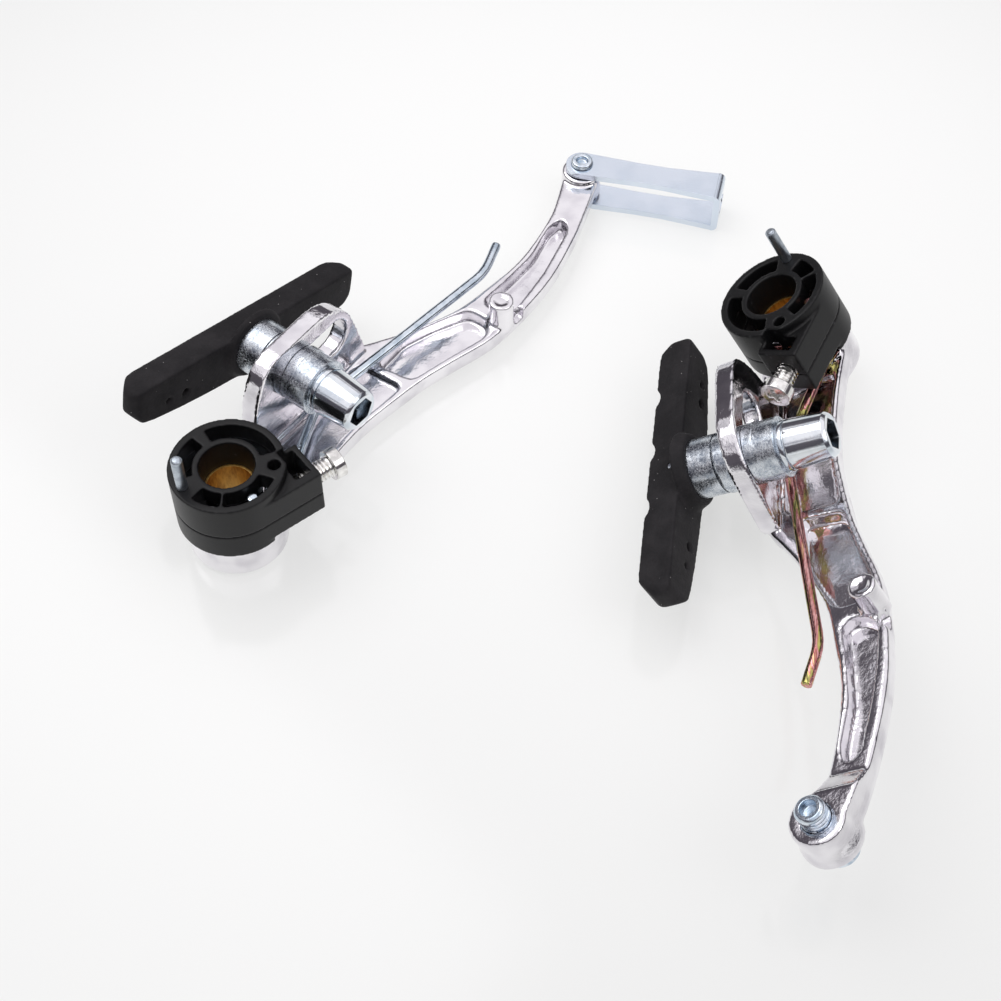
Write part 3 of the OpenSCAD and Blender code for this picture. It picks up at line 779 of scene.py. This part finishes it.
class Assembly:
    """A sub-assembly of one side that dresses nodes of the frame."""

    def __init__(self, frame: dict[str, Any], side: Side) -> None:
        """Keeps the frame and the side."""
        self.frame = frame
        self.side = side
        self.nodes = {n: b for b, ns in frame["record"]["behaviour"]["bodies"].items() for n in ns}

    def copy(self, node: str) -> bpy.types.Object:
        """A merged copy of one of this side's nodes."""
        return Bench.copy_of(node, f"{node}_dressed", self.frame)

    def hand_over(self, piece: bpy.types.Object, node: str, finish: Finish) -> bpy.types.Object:
        """Gives a piece its finish, and lets it stand for its node on the node's body.

        Args:
            piece: The finished piece.
            node: The node that it stands for.
            finish: Its finish.

        Returns:
            The piece.
        """
        piece.data.materials.clear()
        piece.data.materials.append(finish.material(self.side))
        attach(piece, self.nodes[node])
        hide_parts(node)
        log.info("%s: %d faces", piece.name, len(piece.data.polygons))
        return piece


@dataclass
class CastArm:
    """The cast arm with its slotted ear, pockets and eye."""

    work: Assembly
    grain: float = 0.31
    rounds: int = 6
    sharp: float = 60.0

    def build(self) -> None:
        """Models and dresses the arm."""
        node = f"{self.work.side.name}_arm"
        arm = self.work.copy(node)
        Bench.recast(arm, self.grain, self.rounds)
        Bench.smooth(arm, self.sharp)
        self.work.hand_over(arm, node, ALLOY)


@dataclass
class ReturnSpring:
    """The wound return spring with its long leg."""

    work: Assembly
    finish: Finish
    grain: float = 0.17
    rounds: int = 8
    sharp: float = 75.0

    def build(self) -> None:
        """Models and dresses the wire."""
        node = f"{self.work.side.name}_spring"
        wire = self.work.copy(node)
        Bench.recast(wire, self.grain, self.rounds)
        Bench.smooth(wire, self.sharp)
        self.work.hand_over(wire, node, self.finish)


@dataclass
class SpringCase:
    """The two plastic halves round the coil, the bush, the anchor pin and the tension screw."""

    work: Assembly
    grain: float = 0.24
    rounds: int = 3
    sharp: float = 60.0
    bush_edge: float = 0.1
    pin_edge: float = 0.12
    screw_edge: float = 0.25
    screw_radius: float = 1.95
    screw_side: float = -6.4
    screw_height: float = 14.5
    thread_span: tuple[float, float] = (7.0, 15.7)
    thread_pitch: float = 0.72
    thread_depth: float = 0.36

    def build(self) -> None:
        """Models and dresses the five pieces."""
        for part in ("spring_cap", "spring_base"):
            node = f"{self.work.side.name}_{part}"
            shell = self.work.copy(node)
            Bench.recast(shell, self.grain, self.rounds)
            Bench.smooth(shell, self.sharp)
            self.work.hand_over(shell, node, PLASTIC)
        for part, finish, width in (("bush", BRASS, self.bush_edge), ("anchor_pin", PIN_STEEL, self.pin_edge)):
            node = f"{self.work.side.name}_{part}"
            piece = self.work.copy(node)
            Bench.break_edges(piece, width)
            Bench.smooth(piece)
            self.work.hand_over(piece, node, finish)
        self.build_screw()

    def build_screw(self) -> None:
        """Models the tension screw with its thread and cross recess."""
        node = f"{self.work.side.name}_tension_screw"
        screw = self.work.copy(node)
        Bench.break_edges(screw, self.screw_edge, 3)
        lie = Matrix.Translation(Vector((0.0, self.screw_side, self.screw_height)) * MM)
        axis = self.work.side.case_matrix @ lie @ Matrix.Rotation(math.radians(90.0), 4, "Y")
        Bench.cut_thread(screw, axis, self.screw_radius, self.thread_span, self.thread_pitch, self.thread_depth)
        Bench.smooth(screw)
        self.work.hand_over(screw, node, NICKEL)


@dataclass
class BrakeShoe:
    """The pad on its threaded post, with the domed washers, cups and nut that clamp it."""

    work: Assembly
    post_edge: float = 0.15
    dome_edge: float = 0.12
    cup_edge: float = 0.25
    nut_edge: float = 0.12
    grain: float = 0.22
    rounds: int = 12
    sharp: float = 60.0
    half_length: float = 28.75
    straight_edge: float = 3.1
    curved_edge: float = 6.6
    bow: float = 2.5
    foot_reach: float = 12.0
    foot_depth: float = 3.0
    groove_spots: Colour = (-14.9, -2.4, 10.1)
    groove_width: float = 6.6
    fill_depth: float = 3.0
    fill_short: float = 0.01
    fill_grain: float = 0.26
    scallop: float = 3.2
    scallop_middle: float = 1.5
    scallop_length: float = 16.0
    scallop_sides: int = 64
    end_span: float = 4.5
    end_rounds: int = 35
    hole_depth: float = 3.0
    hole_spots: tuple[Colour, ...] = ((20.4, 2.4, 0.6), (16.2, 2.8, 0.8), (-20.4, 2.4, 0.6), (-16.2, 2.8, 0.8))

    def build(self) -> None:
        """Models and dresses the pad and its fittings."""
        for part, finish, width in (("post", BOLT_ZINC, self.post_edge), ("inner_dome", CRYSTAL_ZINC, self.dome_edge),
                                    ("outer_dome", CRYSTAL_ZINC, self.dome_edge),
                                    ("inner_cup", CRYSTAL_ZINC, self.cup_edge),
                                    ("outer_cup", CRYSTAL_ZINC, self.cup_edge), ("nut", NUT_CHROME, self.nut_edge)):
            node = f"{self.work.side.name}_{part}"
            piece = self.work.copy(node)
            Bench.break_edges(piece, width)
            Bench.smooth(piece)
            self.work.hand_over(piece, node, finish)
        self.build_pad()

    def build_pad(self) -> None:
        """Models the rubber pad: its core holes, soft edges, worn grooves and the foot cut off at its sides."""
        side = self.work.side
        node = f"{side.name}_pad"
        pad = self.work.copy(node)
        turned = side.post_matrix @ Matrix.Rotation(math.radians(side.pad_turn), 4, "Z")
        back = turned @ Matrix.Translation(Vector((side.pad_shift, 0.0, side.pad_back)) * MM)
        for x, y, radius in self.hole_spots:
            spot = back @ Matrix.Translation(Vector((x, y, 0.0)) * MM)
            Bench.cut_away(pad, Bench.rod(radius, self.hole_depth, spot))
        wide = self.foot_reach
        for low, high in ((-wide, -self.straight_edge), (self.curved_edge, wide)):
            Bench.cut_away(pad, Bench.box((-wide, low, 0.0), (wide, high, self.foot_depth), back))
        self.soften_grooves(pad, back)
        Bench.recast(pad, self.grain, self.rounds)
        Bench.rub_ends(pad, back, self.half_length - self.end_span, self.end_rounds)
        Bench.smooth(pad, self.sharp)
        self.work.hand_over(pad, node, RUBBER)

    def soften_grooves(self, pad: bpy.types.Object, back: Matrix) -> None:
        """Fills the grooves of the braking face and cuts the shallow, rounded ones of worn moulds.

        Args:
            pad: The pad.
            back: The frame in the middle of the pad's back, with z towards the braking face.
        """
        side = self.work.side
        for x in self.groove_spots:
            reach = (abs(x) + self.groove_width / 2) / self.half_length
            top = self.curved_edge - self.bow * reach * reach
            low = (x - self.groove_width / 2, -self.straight_edge, side.pad_depth - self.fill_depth)
            high = (x + self.groove_width / 2, top, side.pad_depth - self.fill_short)
            Bench.add_on(pad, Bench.box(low, high, back))
        Bench.recast(pad, self.fill_grain, 0)
        for x in self.groove_spots:
            spot = Vector((x, self.scallop_middle, side.pad_depth + self.scallop - side.groove_depth)) * MM
            lie = Matrix.Translation(spot) @ Matrix.Rotation(math.radians(90.0 + side.groove_lean), 4, "X")
            Bench.cut_away(pad, Bench.rod(self.scallop, self.scallop_length, back @ lie, self.scallop_sides))


@dataclass
class CableLink:
    """The bent sheet link and the rivet that holds it to the left arm."""

    work: Assembly
    rivet_reach: float = 107.0
    turn: float = -67.0
    length: float = 29.0
    fold: float = 1.5
    slack: float = 0.05
    link_edge: float = 0.22
    rivet_edge: float = 0.25

    def build(self) -> None:
        """Models and dresses the link and its rivet."""
        link = self.work.copy("cable_link")
        Bench.round_chosen(link, self.at_fold, self.fold)
        self.work.hand_over(self.finish_edges(link, self.link_edge), "cable_link", LINK_ZINC)
        rivet = self.work.copy("link_rivet")
        self.work.hand_over(self.finish_edges(rivet, self.rivet_edge), "link_rivet", BOLT_ZINC)

    def at_fold(self, first: Vector, second: Vector) -> bool:
        """Whether an edge lies across the sheet where it is folded.

        Args:
            first: The place of its one end.
            second: The place of the other end.

        Returns:
            True at a fold.
        """
        rivet = Matrix.Translation(Vector((self.rivet_reach, 0.0, 0.0)) * MM)
        lie = self.work.side.matrix @ rivet @ Matrix.Rotation(math.radians(self.turn), 4, "Z")
        start, end = (lie.inverted() @ place / MM for place in (first, second))
        across = abs(start.y - end.y) > self.fold and abs(start.z - end.z) < self.slack
        return across and min(start.x, end.x) > self.length - self.slack

    @staticmethod
    def finish_edges(piece: bpy.types.Object, width: float) -> bpy.types.Object:
        """Breaks a piece's edges and shades it smooth.

        Args:
            piece: The piece.
            width: The width of the broken edges in millimetres.

        Returns:
            The piece.
        """
        Bench.break_edges(piece, width, 3)
        Bench.smooth(piece)
        return piece


@dataclass
class CableClamp:
    """The bolt and the washer that clamp the cable to the right arm."""

    work: Assembly
    reach: float = 103.7
    radius: float = 2.45
    thread_span: tuple[float, float] = (8.4, 11.2)
    thread_pitch: float = 0.7
    thread_depth: float = 0.34
    washer_edge: float = 0.2
    bolt_edge: float = 0.14

    def build(self) -> None:
        """Models and dresses the bolt with its thread, and the washer."""
        washer = self.work.copy("cable_washer")
        Bench.break_edges(washer, self.washer_edge)
        Bench.smooth(washer)
        self.work.hand_over(washer, "cable_washer", BOLT_ZINC)
        bolt = self.work.copy("cable_bolt")
        Bench.break_edges(bolt, self.bolt_edge)
        axis = self.work.side.matrix @ Matrix.Translation(Vector((self.reach, 0.0, 0.0)) * MM)
        Bench.cut_thread(bolt, axis, self.radius, self.thread_span, self.thread_pitch, self.thread_depth)
        Bench.smooth(bolt)
        self.work.hand_over(bolt, "cable_bolt", BOLT_ZINC)


@dataclass
class Studio:
    """The floor, the light round the part and the camera."""

    camera_spot: Colour = (46.64, -190.41, 269.58)
    camera_dip: float = 53.64
    floor_size: float = 6.0
    floor_tone: Colour = (0.37, 0.372, 0.368)
    # Glow of the floor: painted light, brighter round bright_spot and dimmer beyond dim_reach.
    glow: Colour = (0.58, 0.582, 0.576)
    dim_glow: Colour = (0.43, 0.434, 0.426)
    bright_spot: Colour = (0.06, 0.08, 0.0)
    bright_reach: float = 0.03
    dim_reach: float = 0.25
    room_level: float = 1.1
    key_spot: Colour = (-0.5, 0.35, 1.1)
    key_size: float = 0.9
    key_power: float = 4.2
    fill_spot: Colour = (0.9, -0.4, 0.9)
    fill_size: float = 0.7
    fill_power: float = 1.6

    def build(self) -> None:
        """Sets up the whole studio."""
        self.lay_floor()
        self.light_room()
        self.hang_lamp("key", self.key_spot, self.key_size, self.key_power)
        self.hang_lamp("fill", self.fill_spot, self.fill_size, self.fill_power)
        self.place_camera()
        bpy.context.scene.view_settings.view_transform = "Standard"

    def lay_floor(self) -> None:
        """A pale glossy table top with painted light: it glows a little, which lightens the cast shadows, brightest
        in the middle as a painted pool of light.
        """
        bpy.ops.object.select_all(action="DESELECT")
        bpy.ops.mesh.primitive_plane_add(size=self.floor_size)
        floor = bpy.context.active_object
        floor.name = "table_top"
        material = bpy.data.materials.new("table_white")
        material.use_nodes = True
        shader = Shader(material.node_tree)
        # Painted light: the floor glows, brightest round bright_spot and dimmer beyond, a painted pool of light that
        # also lifts the shadows.
        coords = shader.add("ShaderNodeTexCoord")
        middle = shader.add("ShaderNodeVectorMath", {"operation": "DISTANCE"},
                            {0: coords.outputs["Object"], 1: self.bright_spot})
        fall = Value(shader, middle.outputs["Value"]).between(self.bright_reach, self.dim_reach)
        shader.surface({"Base Color": (*self.floor_tone, 1.0), "Roughness": 0.14, "Specular IOR Level": 0.45,
                        "Emission Color": shader.mix(fall, self.glow, self.dim_glow),
                        "Emission Strength": 1.0})
        floor.data.materials.append(material)

    def light_room(self) -> None:
        """Light from all round: bright overhead, and a dark room behind the table."""
        world = bpy.data.worlds.new("room")
        world.use_nodes = True
        bpy.context.scene.world = world
        shader = Shader(world.node_tree)
        coords = shader.add("ShaderNodeTexCoord")
        height = shader.axes(coords.outputs["Generated"])[2]
        stops = [(0.0, (0.80, 0.80, 0.80)), (0.05, (0.60, 0.60, 0.61)), (0.11, (0.075, 0.07, 0.08)),
                 (0.46, (0.105, 0.095, 0.11)), (0.50, (0.80, 0.78, 0.81)), (0.53, (0.88, 0.86, 0.89)),
                 (0.56, (0.26, 0.25, 0.28)), (0.59, (0.30, 0.29, 0.32)), (0.63, (0.92, 0.90, 0.93)),
                 (1.0, (0.92, 0.90, 0.93))]
        ring = shader.ramp(height, stops)
        back = shader.add("ShaderNodeBackground", None, {"Color": ring, "Strength": self.room_level})
        shader.add("ShaderNodeOutputWorld", None, {0: back.outputs[0]})

    def hang_lamp(self, name: str, spot: Colour, size: float, power: float) -> None:
        """Hangs a square soft light that looks at the part.

        Args:
            name: Its name.
            spot: Its place in metres.
            size: The length of its sides in metres.
            power: Its power in watts.
        """
        data = bpy.data.lights.new(name, "AREA")
        data.shape = "SQUARE"
        data.size = size
        data.energy = power
        lamp = bpy.data.objects.new(name, data)
        bpy.context.scene.collection.objects.link(lamp)
        lamp.location = spot
        lamp.rotation_euler = Vector(spot).to_track_quat("Z", "Y").to_euler()

    def place_camera(self) -> None:
        """The photograph's viewpoint."""
        data = bpy.data.cameras.new("camera")
        data.sensor_width = SENSOR_WIDTH
        data.lens = PHOTO_FOCUS * SENSOR_WIDTH / PHOTO_WIDTH
        camera = bpy.data.objects.new("camera", data)
        bpy.context.scene.collection.objects.link(camera)
        camera.location = tuple(v * MM for v in self.camera_spot)
        camera.rotation_euler = (math.radians(90.0 - self.camera_dip), 0.0, 0.0)
        bpy.context.scene.camera = camera


def main() -> None:
    """Builds every sub-assembly on the frame, then the studio."""
    logging.basicConfig(level=logging.INFO, format="%(name)s: %(message)s")
    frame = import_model()
    for side, wire in ((LEFT, ZINC_WIRE), (RIGHT, GOLD_WIRE)):
        work = Assembly(frame, side)
        for part in (CastArm(work), ReturnSpring(work, wire), SpringCase(work), BrakeShoe(work)):
            part.build()
    CableLink(Assembly(frame, LEFT)).build()
    CableClamp(Assembly(frame, RIGHT)).build()
    Studio().build()


if __name__ == "__main__":
    main()
